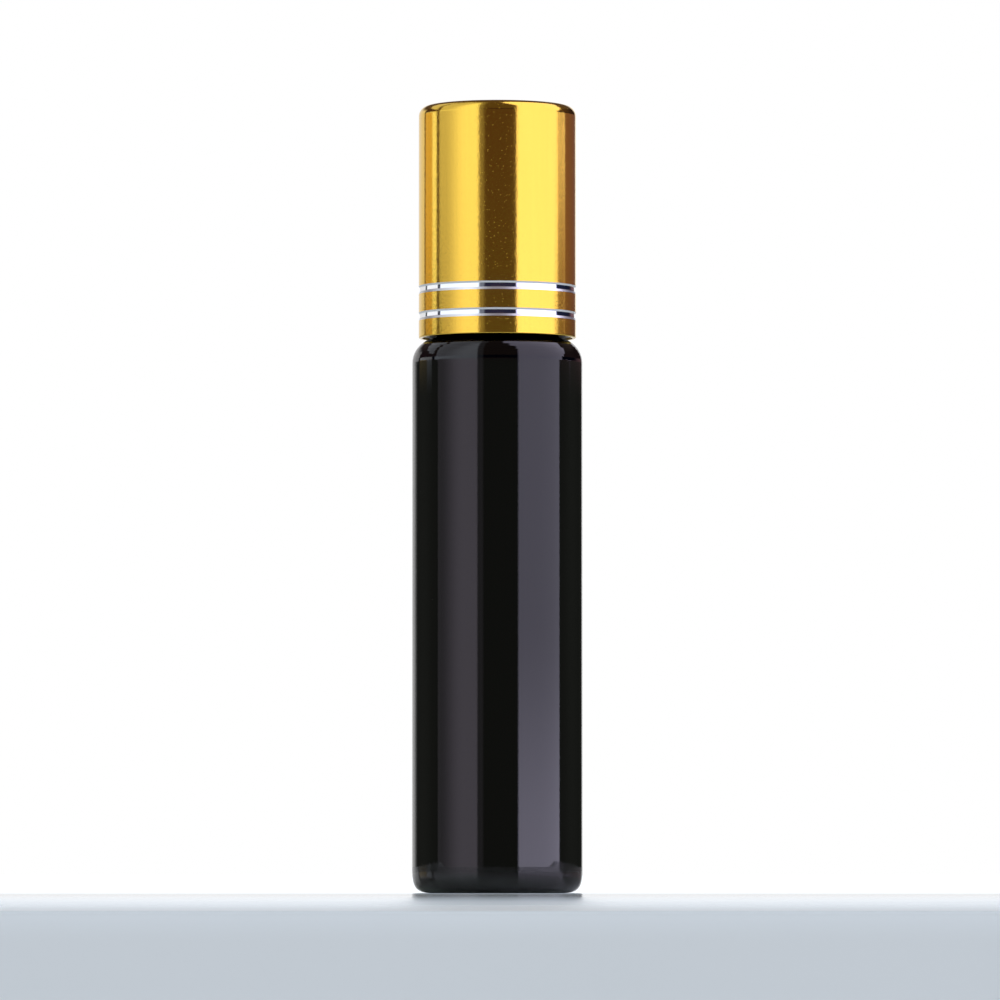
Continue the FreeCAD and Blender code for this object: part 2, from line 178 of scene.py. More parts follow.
GLASS_TINT = (0.13, 0.065, 0.03, 1)
GLASS_ABSORPTION = {"Color": (0.70, 0.40, 0.01, 1), "Density": 7000.0}
GLASS_IOR = 1.52
GLASS_ROUGHNESS = (0.012, 0.25)
GLASS_WAVE_SIZE = 9 * MM
GLASS_WAVE_STRETCH = (1, 1, 0.25)
GLASS_WAVE_HEIGHT = 0.006 * MM
DUST_PITCH = 2.4 * MM
DUST_SHARE = 0.02

GOLD_TONES = ((0.90, 0.575, 0.074, 1), (0.96, 0.615, 0.084, 1))
GOLD_ROUGHNESS = (0.08, 0.12)
GOLD_LINE_SIZE = 0.25 * MM
GOLD_LINE_STRETCH = (1, 1, 0.02)
GOLD_LINE_HEIGHT = 0.0006 * MM
GOLD_PEEL_SIZE = 0.2 * MM
GOLD_PEEL_STRETCH = (1, 1, 0.5)
GOLD_PEEL_HEIGHT = 0.0045 * MM
GOLD_GRAIN_PITCH = 0.34 * MM
GOLD_GRAIN_SHARE = 0.12
GOLD_GRAIN_HEIGHT = 0.007 * MM

TURNED_TONES = ((0.88, 0.90, 0.93, 1), (0.96, 0.97, 0.98, 1))
TURNED_ROUGHNESS = (0.03, 0.065)
TURNED_SLOPE_ROUGHNESS = 0.3
TURNED_SLOPE_LEAN = (0.12, 0.2)
TURNED_RING_SIZE = 0.05 * MM
TURNED_RING_STRETCH = (0.02, 0.02, 1)
TURNED_RING_HEIGHT = 0.0008 * MM

STEEL_TONES = ((0.60, 0.60, 0.61, 1), (0.68, 0.68, 0.68, 1))
STEEL_ROUGHNESS = (0.04, 0.10)
STEEL_HAZE_SIZE = 2.5 * MM
STEEL_SCRATCH_SIZE = 0.12 * MM
STEEL_SCRATCH_STRETCH = (1, 0.06, 0.3)
STEEL_SCRATCH_HEIGHT = 0.0006 * MM

PLASTIC_GRAIN_SIZE = 0.12 * MM
PLASTIC_CLOUD_SIZE = 3.0 * MM
PLASTIC_LIGHT_REACH = 0.6 * MM
PLASTIC_LIGHT_SHARES = (1.0, 0.9, 0.8)

HOUSING_TONES = ((0.78, 0.78, 0.75, 1), (0.86, 0.86, 0.84, 1))
HOUSING_ROUGHNESS = (0.32, 0.46)
HOUSING_GRAIN_HEIGHT = 0.002 * MM
HOUSING_TRANSLUCENCY = 0.25

LINER_TONES = ((0.012, 0.012, 0.013, 1), (0.022, 0.022, 0.024, 1))
LINER_ROUGHNESS = (0.28, 0.42)
LINER_GRAIN_HEIGHT = 0.003 * MM

FOAM_TONES = ((0.70, 0.70, 0.67, 1), (0.82, 0.82, 0.80, 1))
FOAM_CLOUD_SIZE = 1.2 * MM
FOAM_CELL_SIZE = 0.16 * MM
FOAM_CELL_HEIGHT = 0.03 * MM
# Painted shade: the colour that the foam's sunken cell middles are darkened towards, and how far.
FOAM_PIT_SHADE_COLOR = (0.42, 0.42, 0.40, 1)
FOAM_CELL_CORE = (0.1, 0.5)
FOAM_CELL_SHADE = 0.25
FOAM_CELL_SPREAD = (0.1, 0.6)
FOAM_ROUGHNESS = (0.75, 0.95)

# Studio around the object. Angles are in degrees: round the object from the camera's side, positive to the
# right, and up from level. The softboxes' inner edges lean together overhead, so they are given as sines.
# The camera sees lights below CAP_FOOT mirrored in the glass, and those above it in the cap.
CAP_FOOT = (3.7, 3.9)
EDGE_SOFTNESS = 1.5
SINE_SOFTNESS = 0.028
HEIGHT_SOFTNESS = 0.4
TINY = 1e-6

# Directions that the cap's turned bands mirror to the camera. The bands lean upwards, so these lie higher.
BAND_VIEW_LIFT = 7.6
BAND_VIEW_HEIGHTS = (3.2, 5.1)
BAND_VIEW_SOFTNESS = 0.3
BAND_VIEW_REACH = 142
BAND_VIEW_ROOM = (0.010, 0.014, 0.036, 1)
BAND_VIEW_STRIP = (-130, -100.5)

# Dim room.
LOW_ROOM = (0.105, 0.112, 0.098, 1)
ROOM = (0.090, 0.052, 0.058, 1)
ROOM_FADE = (108, 150)
ROOM_BACK_LEVEL = 0.3
OVERHEAD_ROOM = (0.10, 0.072, 0.066, 1)
OVERHEAD_HEIGHTS = (14, 28)

# Right softbox. Its far edge moves by the last number of each step between the step's two heights.
RIGHT_COLOR = (1.0, 0.95, 1.25, 1)
RIGHT_SINE = 0.476
RIGHT_LEAN = -0.24
RIGHT_LEAN_HEIGHTS = (45, 85)
RIGHT_OUTER = 93
RIGHT_OUTER_STEPS = ((3.75, 3.85, 7), (5.0, 5.1, 18), (5.7, 5.9, -19), (10.5, 34, 26), (37, 42, 18))
RIGHT_LEVELS = (2.6, 1.42)
RIGHT_BRIGHT_FOOT = 1.9
FRINGE_COLOR = (0.16, 0.085, 0.095, 1)
FRINGE_OUTER = (150, 170)
FRINGE_HEIGHTS = (3.8, 6.6)
RIGHT_LINE = (114.8, 117.6)
RIGHT_LINE_COLOR = (0.25, 0.22, 0.33, 1)

# Left softbox. Pairs of edges and levels are for the glass's view and the cap's.
LEFT_COLORS = ((0.92, 0.83, 1.0, 1), (0.86, 0.93, 1.03, 1))
LEFT_SINE = -0.456
LEFT_LIP_SINE = -0.33
LEFT_LIP_LEVEL = 0.17
LEFT_OUTERS = (-88, -95)
LEFT_OUTER_WIDENING = -57
LEFT_OUTER_RISE = (12, 40)
LEFT_OUTER_LEVELS = (0.11, 0.5)
LEFT_INNER_LEVELS = (0.97, 1.12)
LEFT_BAND_GAIN = 0.55
LEFT_FADE = (-84, -46)
LEFT_GAP_HEIGHTS = (15, 75)
LEFT_GAP_MIDDLES = (-98, -135)
LEFT_GAP_HALF_WIDTH = 3.5
LEFT_GAP_START = (11, 14)

# Narrow strip light beside the left softbox, with a warm core.
STRIP = (-111, -100.5)
STRIP_LEVEL = 1.3
STRIP_CORE = (-131.5, -111)
STRIP_CORE_COLOR = (0.68, 0.51, 0.2, 1)
STRIP_HEIGHTS = (3.85, 6.6)

# White backdrop behind the object.
BACKDROP_COLOR = (1.0, 1.0, 1.0, 1)
BACKDROP_LEFT = -135
BACKDROP_LOW_LEFT = -146
BACKDROP_LOW_SOFTNESS = 9.0
BACKDROP_RIGHT = 162
BACKDROP_TOP = (13, 23)
BACKDROP_LEFT_LEVEL = 0.8
BACKDROP_MIDDLE = (165, 173)
BACKDROP_MIDDLE_LEVEL = 0.93


def mix(low, high, share):
    return low + (high - low) * share


def ease(share):
    share = np.clip(share, 0.0, 1.0)
    return share * share * (3 - 2 * share)


def arc(start, end, radius, turn):
    """Points of the shorter arc between two points of an outline, both ends included."""
    start = np.array(start)
    chord = np.array(end) - start
    length = np.hypot(*chord)
    across = np.array([-chord[1], chord[0]]) * (turn / length)
    centre = start + chord / 2 + across * math.sqrt(max(0.0, radius ** 2 - (length / 2) ** 2))
    angle = math.atan2(*(start - centre)[::-1])
    sweep = turn * 2 * math.asin(min(1.0, length / 2 / radius))
    steps = max(2, math.ceil(abs(sweep) / (math.pi / 2) * QUARTER_STEPS))
    angles = angle + sweep * np.linspace(0, 1, steps + 1)
    return [tuple(centre + radius * np.array([math.cos(a), math.sin(a)])) for a in angles]


def rounded(corners):
    """Points of an outline; its corners are (radius, height), or (radius, height, fillet) where rounded."""
    points = []
    for number, corner in enumerate(corners):
        here = np.array(corner[:2])
        if len(corner) == 2:
            points.append(tuple(here))
            continue
        before = np.array(corners[number - 1][:2]) - here
        after = np.array(corners[(number + 1) % len(corners)][:2]) - here
        before /= np.hypot(*before)
        after /= np.hypot(*after)
        half = math.acos(np.clip(before @ after, -1, 1)) / 2
        setback = corner[2] / math.tan(half)
        turn = LEFT if before[1] * after[0] - before[0] * after[1] > 0 else RIGHT
        points += arc(here + before * setback, here + after * setback, corner[2], turn)
    return points


def with_margins(points, closed):
    """Adds a point close to each end of every long stretch, so that smooth shading stays at the corners."""
    ends = points[1:] + points[:1] if closed else points[1:]
    full = []
    for start, end in zip(points, ends):
        full.append(start)
        stretch = np.subtract(end, start)
        length = np.hypot(*stretch)
        if length > 4 * MARGIN:
            share = MARGIN / length
            full.append(tuple(np.add(start, stretch * share)))
            full.append(tuple(np.add(start, stretch * (1 - share))))
    return full if closed else full + points[-1:]


def add_mesh(name, verts, faces, paint=None):
    """Links a new smooth mesh object whose sharp edges follow from their angle."""
    mesh = bpy.data.meshes.new(name)
    mesh.from_pydata(verts, [], faces)
    if paint is not None:
        mesh.polygons.foreach_set("material_index", paint)
    mesh.polygons.foreach_set("use_smooth", [True] * len(faces))
    mesh.set_sharp_from_angle(angle=SHARP_ANGLE)
    mesh.update()
    piece = bpy.data.objects.new(name, mesh)
    bpy.context.scene.collection.objects.link(piece)
    return piece


def turned_rows(points, swell):
    """Vertices of an outline turned about the Z axis, and the vertices' numbers in each point's row."""
    angles = np.arange(ROUND_STEPS) * (TAU / ROUND_STEPS)
    verts, rows = [], []
    for r, z in points:
        if r < MARGIN / 2:
            rows.append([len(verts)] * ROUND_STEPS)
            verts.append((0.0, 0.0, z))
            continue
        radii = np.full(ROUND_STEPS, r)
        if swell is not None:
            radii = radii + swell(angles, r, z)
        rows.append(list(range(len(verts), len(verts) + ROUND_STEPS)))
        verts += zip(radii * np.cos(angles), radii * np.sin(angles), np.full(ROUND_STEPS, z))
    return [tuple(map(float, vert)) for vert in verts], rows


def ring_faces(low, high):
    """Faces between two rows; a row on the axis makes them triangles."""
    faces = []
    for step in range(ROUND_STEPS):
        after = (step + 1) % ROUND_STEPS
        loop = (low[step], low[after], high[after], high[step])
        faces.append(list(dict.fromkeys(loop)))
    return faces


def lathe(name, points, closed=False, swell=None, band_faces=None):
    """Turns an outline about the Z axis into a mesh object.

    An open outline starts and ends on the axis. swell gives how far points move outwards, from their angle,
    radius and height, and band_faces says which stretches, by their middle, take the second material.
    """
    points = with_margins(points, closed)
    verts, rows = turned_rows(points, swell)
    pairs = list(zip(rows, rows[1:] + rows[:1]))
    faces, paint = [], []
    for number, (low, high) in enumerate(pairs if closed else pairs[:-1]):
        middle = np.add(points[number], points[(number + 1) % len(points)]) / 2
        second = band_faces is not None and band_faces(*middle)
        faces += ring_faces(low, high)
        paint += [1 if second else 0] * ROUND_STEPS
    return add_mesh(name, verts, faces, paint)


def reach(node):
    """Radius, bottom and top of a node of the frame."""
    low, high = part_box(node)
    return high.x, low.z, high.z


def ladder(r, low, high, step):
    """Points close together along a straight wall, from one height to another."""
    count = math.ceil(abs(high - low) / step)
    return [(r, mix(low, high, number / count)) for number in range(count + 1)]


def thread_ridge(angles, z, first_z, turns):
    """How far a screw thread's ridge stands out at a height, as a share of its full height."""
    around = angles / TAU
    number = np.round((z - first_z) / THREAD_LEAD - around)
    along = around + number
    off_crest = np.abs(z - first_z - THREAD_LEAD * along)
    flank = ease((THREAD_HALF_WIDTH - off_crest) / THREAD_FLANK)
    return flank * ease(np.minimum(along, turns - along) / THREAD_RUN_OUT)


def finish_piece(piece, body, node, slot, *materials):
    for material in materials:
        piece.data.materials.append(material)
    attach(piece, body)
    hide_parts(node)


class Nodes:
    """Short calls that add nodes to a tree and link them."""

    def __init__(self, tree):
        self.tree = tree
        tree.nodes.clear()

    def add(self, kind, inputs=None, **settings):
        node = self.tree.nodes.new(kind)
        for name, value in settings.items():
            setattr(node, name, value)
        for name, value in (inputs or {}).items():
            if isinstance(value, bpy.types.NodeSocket):
                self.tree.links.new(value, node.inputs[name])
            else:
                node.inputs[name].default_value = value
        return node

    def math(self, operation, first, second=0.0):
        return self.add("ShaderNodeMath", {0: first, 1: second}, operation=operation).outputs[0]

    def ramp(self, value, low, high, start=0.0, end=1.0, kind="SMOOTHSTEP"):
        inputs = {"Value": value, "From Min": low, "From Max": high, "To Min": start, "To Max": end}
        return self.add("ShaderNodeMapRange", inputs, interpolation_type=kind).outputs["Result"]

    def blend(self, share, first, second):
        node = self.add("ShaderNodeMix", {"Factor": share}, data_type="RGBA")
        for socket, value in ((node.inputs[6], first), (node.inputs[7], second)):
            if isinstance(value, bpy.types.NodeSocket):
                self.tree.links.new(value, socket)
            else:
                socket.default_value = value
        return node.outputs[2]

    def place(self, scale):
        coords = self.add("ShaderNodeTexCoord").outputs["Object"]
        return self.add("ShaderNodeMapping", {"Vector": coords, "Scale": scale}).outputs["Vector"]

    def noise(self, scale, size, detail=2.0, roughness=0.5):
        inputs = {"Vector": self.place(scale), "Scale": 1 / size, "Detail": detail, "Roughness": roughness}
        return self.add("ShaderNodeTexNoise", inputs).outputs["Fac"]

    def specks(self, size, share):
        """Small separate dots, one in each cell, that cover about a share of the cell's width."""
        return self.ramp(self.cells(size), share, share / 2)

    def cells(self, size):
        """Distance from the middle of each cell."""
        inputs = {"Vector": self.place(EVEN), "Scale": 1 / size}
        return self.add("ShaderNodeTexVoronoi", inputs).outputs["Distance"]

    def facing_up(self):
        """How far the surface faces up, from -1 to 1."""
        normal = self.add("ShaderNodeNewGeometry").outputs["Normal"]
        return self.add("ShaderNodeSeparateXYZ", {0: normal}).outputs["Z"]

    def bump(self, height, depth, normal=None):
        inputs = {"Height": height, "Distance": depth, "Strength": 1.0}
        if normal is not None:
            inputs["Normal"] = normal
        return self.add("ShaderNodeBump", inputs).outputs["Normal"]


def new_material(name):
    material = bpy.data.materials.new(name)
    material.use_nodes = True
    return material, Nodes(material.node_tree)


def surface(nodes, inputs, volume=None):
    shader = nodes.add("ShaderNodeBsdfPrincipled", inputs)
    output = {"Surface": shader.outputs["BSDF"]}
    if volume is not None:
        output["Volume"] = volume
    nodes.add("ShaderNodeOutputMaterial", output)


def glass_material():
    """Very dark amber glass with slow waves from drawing and a little dust."""
    material, nodes = new_material("dark_amber_glass")
    waves = nodes.noise(GLASS_WAVE_STRETCH, GLASS_WAVE_SIZE, detail=1.0)
    dust = nodes.specks(DUST_PITCH, DUST_SHARE)
    absorption = nodes.add("ShaderNodeVolumeAbsorption", GLASS_ABSORPTION)
    surface(nodes, {
        "Base Color": GLASS_TINT,
        "Roughness": nodes.ramp(dust, 0.0, 1.0, *GLASS_ROUGHNESS),
        "IOR": GLASS_IOR,
        "Transmission Weight": 1.0,
        "Normal": nodes.bump(waves, GLASS_WAVE_HEIGHT),
    }, absorption.outputs["Volume"])
    return material


def gold_material():
    """Bright gold anodising over drawn metal, with fine drawing lines and small raised grains."""
    material, nodes = new_material("gold_anodising")
    lines = nodes.noise(GOLD_LINE_STRETCH, GOLD_LINE_SIZE)
    peel = nodes.noise(GOLD_PEEL_STRETCH, GOLD_PEEL_SIZE, detail=3.0, roughness=0.6)
    grains = nodes.specks(GOLD_GRAIN_PITCH, GOLD_GRAIN_SHARE)
    normal = nodes.bump(lines, GOLD_LINE_HEIGHT)
    normal = nodes.bump(peel, GOLD_PEEL_HEIGHT, normal)
    surface(nodes, {
        "Base Color": nodes.blend(lines, *GOLD_TONES),
        "Metallic": 1.0,
        "Roughness": nodes.ramp(peel, *NOISE_SPREAD, *GOLD_ROUGHNESS),
        "Normal": nodes.bump(grains, GOLD_GRAIN_HEIGHT, normal),
    })
    return material


def turned_metal_material():
    """Bare bright metal with the fine rings of a turning tool, rougher on the bands' slopes."""
    material, nodes = new_material("turned_bright_metal")
    rings = nodes.noise(TURNED_RING_STRETCH, TURNED_RING_SIZE, detail=1.0)
    lean = nodes.math("ABSOLUTE", nodes.facing_up())
    slope = nodes.math("MULTIPLY", nodes.ramp(lean, *TURNED_SLOPE_LEAN), TURNED_SLOPE_ROUGHNESS)
    polish = nodes.ramp(rings, *NOISE_SPREAD, *TURNED_ROUGHNESS)
    surface(nodes, {
        "Base Color": nodes.blend(rings, *TURNED_TONES),
        "Metallic": 1.0,
        "Roughness": nodes.math("ADD", polish, slope),
        "Normal": nodes.bump(rings, TURNED_RING_HEIGHT),
    })
    return material


def steel_material():
    """Polished steel with fine random scratches."""
    material, nodes = new_material("polished_steel")
    scratches = nodes.noise(STEEL_SCRATCH_STRETCH, STEEL_SCRATCH_SIZE, detail=3.0)
    haze = nodes.noise(EVEN, STEEL_HAZE_SIZE)
    surface(nodes, {
        "Base Color": nodes.blend(haze, *STEEL_TONES),
        "Metallic": 1.0,
        "Roughness": nodes.ramp(haze, *NOISE_SPREAD, *STEEL_ROUGHNESS),
        "Normal": nodes.bump(scratches, STEEL_SCRATCH_HEIGHT),
    })
    return material


def moulded_material(name, tones, roughness, grain_height, translucency=0.0):
    """Moulded plastic with a fine spark-eroded grain."""
    material, nodes = new_material(name)
    grain = nodes.noise(EVEN, PLASTIC_GRAIN_SIZE, detail=3.0)
    clouds = nodes.noise(EVEN, PLASTIC_CLOUD_SIZE)
    surface(nodes, {
        "Base Color": nodes.blend(clouds, *tones),
        "Roughness": nodes.ramp(grain, *NOISE_SPREAD, *roughness),
        "Subsurface Weight": translucency,
        "Subsurface Radius": PLASTIC_LIGHT_SHARES,
        "Subsurface Scale": PLASTIC_LIGHT_REACH,
        "Normal": nodes.bump(grain, grain_height),
    })
    return material


def foam_material():
    """Closed-cell foam: matt, with small round cells whose sunken middles are darkened with painted shade.
    """
    material, nodes = new_material("closed_cell_foam")
    cells = nodes.cells(FOAM_CELL_SIZE)
    tone = nodes.blend(nodes.noise(EVEN, FOAM_CLOUD_SIZE), *FOAM_TONES)
    # Painted shade: the colour darkens towards the middle of each sunken cell.
    shade = nodes.ramp(cells, *FOAM_CELL_CORE, FOAM_CELL_SHADE, 0.0)
    surface(nodes, {
        "Base Color": nodes.blend(shade, tone, FOAM_PIT_SHADE_COLOR),
        "Roughness": nodes.ramp(cells, *FOAM_CELL_SPREAD, *FOAM_ROUGHNESS),
        "Normal": nodes.bump(cells, FOAM_CELL_HEIGHT),
    })
    return material


def heel_points(body_r):
    """The heel's long soft curve, from the foot up to the straight wall."""
    points = []
    for number in range(HEEL_STEPS + 1):
        angle = math.pi / 2 * number / HEEL_STEPS
        across = math.sin(angle) ** (2 / HEEL_POWER)
        drop = math.cos(angle) ** (2 / HEEL_POWER)
        points.append((body_r - HEEL_WIDTH * (1 - across), HEEL_HEIGHT * (1 - drop)))
    return points


def shoulder_points(body_r):
    """The shoulder's arc and the small fillet that leads it into the neck."""
    axis_r = body_r - SHOULDER_RADIUS
    fillet_r = NECK_R + NECK_ROOT_RADIUS
    span = SHOULDER_RADIUS + NECK_ROOT_RADIUS
    fillet_z = SHOULDER_Z + math.sqrt(span ** 2 - (fillet_r - axis_r) ** 2)
    share = SHOULDER_RADIUS / span
    meeting = (mix(axis_r, fillet_r, share), mix(SHOULDER_Z, fillet_z, share))
    shoulder = arc((body_r, SHOULDER_Z), meeting, SHOULDER_RADIUS, LEFT)
    return shoulder + arc(meeting, (NECK_R, fillet_z), NECK_ROOT_RADIUS, RIGHT)[1:]


def make_glass_bottle():
    body_r, _, lip_z = reach("glass_bottle")
    heel = heel_points(body_r)
    foot_r = heel[0][0]
    push_up_radius = (foot_r ** 2 + PUSH_UP ** 2) / (2 * PUSH_UP)
    shoulder = shoulder_points(body_r)
    neck_z = shoulder[-1][1]
    lip = [(NECK_R, neck_z), (NECK_R, lip_z, LIP_RADIUS), (BORE_R, lip_z, LIP_RADIUS), (BORE_R, neck_z)]
    cavity_r = body_r - BODY_WALL
    cavity_top_z = SHOULDER_Z + CAVITY_SHOULDER_RADIUS
    cavity = [
        (BORE_R, neck_z),
        (BORE_R, cavity_top_z, BORE_ROOT_RADIUS),
        (cavity_r, cavity_top_z, CAVITY_SHOULDER_RADIUS),
        (cavity_r, FLOOR_Z, INSIDE_HEEL_RADIUS),
        (0.0, FLOOR_Z),
    ]
    neck = ladder(NECK_R, neck_z, lip_z - LIP_RADIUS, THREAD_STEP)
    points = arc((0.0, PUSH_UP), (foot_r, 0.0), push_up_radius, RIGHT) + heel[1:] + shoulder
    points += neck[1:] + rounded(lip)[2:-1] + rounded(cavity)[1:-1] + [(0.0, FLOOR_Z)]

    def thread(angles, r, z):
        on_neck = abs(r - NECK_R) < MARGIN and z > neck_z
        return NECK_THREAD_HEIGHT * thread_ridge(angles, z, NECK_THREAD_Z, THREAD_TURNS) if on_neck else 0.0

    piece = lathe("bottle_body", points, swell=thread)
    finish_piece(piece, "bottle", "glass_bottle", "bottle_glass", glass_material())


def make_ball_housing():
    collar_r, plug_z, mouth_z = reach("ball_housing")
    ball_r, ball_low, ball_top = reach("roller_ball")
    lip_z = reach("glass_bottle")[2]
    socket_r = ball_r + SOCKET_CLEARANCE
    ball_z = (ball_low + ball_top) / 2
    mouth_r = math.sqrt(socket_r ** 2 - (mouth_z - ball_z) ** 2)
    seat_z = ball_z - math.sqrt(socket_r ** 2 - THROAT_R ** 2)
    throat_z = seat_z - THROAT_HEIGHT
    collar_z = lip_z + COLLAR_THICKNESS
    corners = [(PLUG_R - PLUG_NOSE, plug_z), (PLUG_R, plug_z + PLUG_NOSE)]
    for number in range(SEAL_RING_COUNT):
        low = plug_z + SEAL_RING_START + number * SEAL_RING_PITCH
        top = low + SEAL_RING_HEIGHT
        corners += [(PLUG_R, low), (SEAL_RING_R, top), (PLUG_R, top)]
    corners += [
        (PLUG_R, lip_z),
        (collar_r, lip_z),
        (collar_r, collar_z, COLLAR_EDGE),
        (CUP_R, collar_z, MOUTH_EDGE),
        (CUP_R, mouth_z, CUP_EDGE),
        (mouth_r, mouth_z),
    ]
    socket = arc((mouth_r, mouth_z), (THROAT_R, seat_z), socket_r, RIGHT)
    throat = ladder(THROAT_R, seat_z, throat_z, THROAT_HEIGHT / 4)
    points = rounded(corners) + socket[1:] + throat[1:] + [(PLUG_BORE_R, throat_z), (PLUG_BORE_R, plug_z)]

    def notches(angles, r, z):
        if abs(r - THROAT_R) > MARGIN or not throat_z - MARGIN < z < seat_z + MARGIN:
            return 0.0
        pitch = TAU / NOTCH_COUNT
        off_middle = np.abs((angles + pitch / 2) % pitch - pitch / 2) * THROAT_R
        return NOTCH_DEPTH * (off_middle < NOTCH_WIDTH / 2)

    piece = lathe("ball_fitment", points, closed=True, swell=notches)
    material = moulded_material(
        "natural_polyethylene",
        HOUSING_TONES,
        HOUSING_ROUGHNESS,
        HOUSING_GRAIN_HEIGHT,
        HOUSING_TRANSLUCENCY,
    )
    finish_piece(piece, "bottle", "ball_housing", "housing_plastic", material)


def make_roller_ball():
    ball_r, low, top = reach("roller_ball")
    ball_z = (low + top) / 2
    half = arc((0.0, low), (ball_r, ball_z), ball_r, LEFT)
    points = half + arc((ball_r, ball_z), (0.0, top), ball_r, LEFT)[1:]
    piece = lathe("steel_ball", points)
    finish_piece(piece, "ball", "roller_ball", "ball_steel", steel_material())


def make_seal_pad():
    pad_r, low, top = reach("seal_pad")
    corners = [
        (0.0, low),
        (IMPRINT_R, low),
        (pad_r, low, PAD_EDGE),
        (pad_r, top, PAD_EDGE),
        (0.0, top),
    ]
    edge = rounded(corners)[2:-1]
    count = QUARTER_STEPS * 2
    dent = []
    for number in range(count):
        share = number / count
        dent.append((IMPRINT_R * share, low + IMPRINT_DEPTH * (1 - ease(share))))
    points = dent + [(IMPRINT_R, low)] + edge + [(0.0, top)]
    piece = lathe("foam_pad", points)
    finish_piece(piece, "seal", "seal_pad", "pad_foam", foam_material())


def liner_outline():
    """The liner's outline, from the room's ceiling down the bore, round the skirt and up the outside."""
    liner_r, skirt_z, top_z = reach("inner_cap")
    web_z = reach("seal_pad")[2]
    web_top_z = web_z + WEB_THICKNESS
    bead_top_z = reach("roller_ball")[2]
    rib_top_z = top_z - RIB_TOP_GAP
    room = [
        (0.0, web_z),
        (ROOM_R, web_z, MOULD_EDGE),
        (ROOM_R, bead_top_z),
        (BEAD_R, bead_top_z - BEAD_HEIGHT),
        (ROOM_R, bead_top_z - 2 * BEAD_HEIGHT),
        (ROOM_R, STEP_Z, MOULD_EDGE),
        (LINER_BORE_R, STEP_Z),
    ]
    bore = ladder(LINER_BORE_R, STEP_Z, skirt_z + LEAD_IN, THREAD_STEP)
    outside = [
        (LINER_BORE_R + LEAD_IN, skirt_z),
        (liner_r, skirt_z, MOULD_EDGE),
        (liner_r, STEP_TOP_Z, MOULD_EDGE),
        (THIMBLE_R, STEP_TOP_Z),
        (THIMBLE_R, STEP_TOP_Z + MARGIN),
        (THIMBLE_R, rib_top_z - MARGIN),
        (THIMBLE_R, rib_top_z),
        (THIMBLE_R, top_z, MOULD_EDGE),
        (ROOM_R, top_z, MOULD_EDGE),
        (ROOM_R, web_top_z, MOULD_EDGE),
        (0.0, web_top_z),
    ]
    return rounded(room) + bore[1:] + rounded(outside)


def make_inner_cap():
    liner_r, skirt_z, top_z = reach("inner_cap")
    rib_top_z = top_z - RIB_TOP_GAP
    thread_turns = (STEP_Z - skirt_z) / THREAD_LEAD - 1.0
    first_z = skirt_z + THREAD_LEAD / 2
    thread_z = first_z + (NECK_THREAD_Z + THREAD_LEAD / 2 - first_z) % THREAD_LEAD

    def moulding(angles, r, z):
        if abs(r - LINER_BORE_R) < MARGIN and z < STEP_Z:
            return -LINER_THREAD_HEIGHT * thread_ridge(angles, z, thread_z, thread_turns)
        if abs(r - THIMBLE_R) < MARGIN and STEP_TOP_Z < z < rib_top_z:
            pitch = TAU / RIB_COUNT
            off_middle = np.abs((angles + pitch / 2) % pitch - pitch / 2) * liner_r
            return (liner_r - THIMBLE_R) * (off_middle < RIB_WIDTH / 2)
        return 0.0

    piece = lathe("cap_liner", liner_outline(), swell=moulding)
    material = moulded_material("black_polypropylene", LINER_TONES, LINER_ROUGHNESS, LINER_GRAIN_HEIGHT)
    finish_piece(piece, "cap", "inner_cap", "liner_plastic", material)


def make_cap_shell():
    shell_r, rim_z, top_z = reach("cap_shell")
    bore_r = shell_r - SHELL_WALL
    ceiling_z = top_z - SHELL_WALL
    rim = rounded([(bore_r, ceiling_z), (bore_r, rim_z), (shell_r, rim_z, RIM_EDGE), (shell_r, top_z)])
    crown = rounded([(shell_r, rim_z), (shell_r, top_z, CROWN_RADIUS), (0.0, top_z)])
    ceiling_edge = CROWN_RADIUS - SHELL_WALL
    inside = rounded([(0.0, ceiling_z), (bore_r, ceiling_z, ceiling_edge), (bore_r, rim_z)])
    bands, heights = [], []
    for number in range(BAND_COUNT):
        low = rim_z + BAND_START + number * BAND_PITCH
        high = low + BAND_WIDTH
        heights.append((low, high))
        low_r = shell_r - BAND_DEPTH
        high_r = low_r + BAND_FLARE
        bands += [
            (shell_r, low),
            (low_r, low + BAND_LOW_SLOPE),
            (high_r, high - BAND_HIGH_SLOPE),
            (shell_r, high),
        ]
    points = inside[:-1] + rim[1:-1] + bands + crown[1:]

    def on_band(r, z):
        return r > bore_r + MARGIN and any(low < z < high for low, high in heights)

    piece = lathe("cap_gold_shell", points, band_faces=on_band)
    finish_piece(piece, "cap", "cap_shell", "shell_gold", gold_material(), turned_metal_material())


def make_camera():
    camera = bpy.data.cameras.new("camera")
    camera.sensor_width = SENSOR_WIDTH
    camera.lens = SENSOR_WIDTH * FOCAL_PIXELS / PHOTO_SIZE
    camera.clip_start = CAMERA_CLIP_START
    holder = bpy.data.objects.new("camera", camera)
    bpy.context.scene.collection.objects.link(holder)
    tilt = math.atan2(HORIZON_PIXEL - PHOTO_SIZE / 2, FOCAL_PIXELS)
    holder.location = Vector((CAMERA_X, CAMERA_Y, CAMERA_Z))
    holder.rotation_euler = (math.pi / 2 + tilt, 0.0, 0.0)
    bpy.context.scene.camera = holder


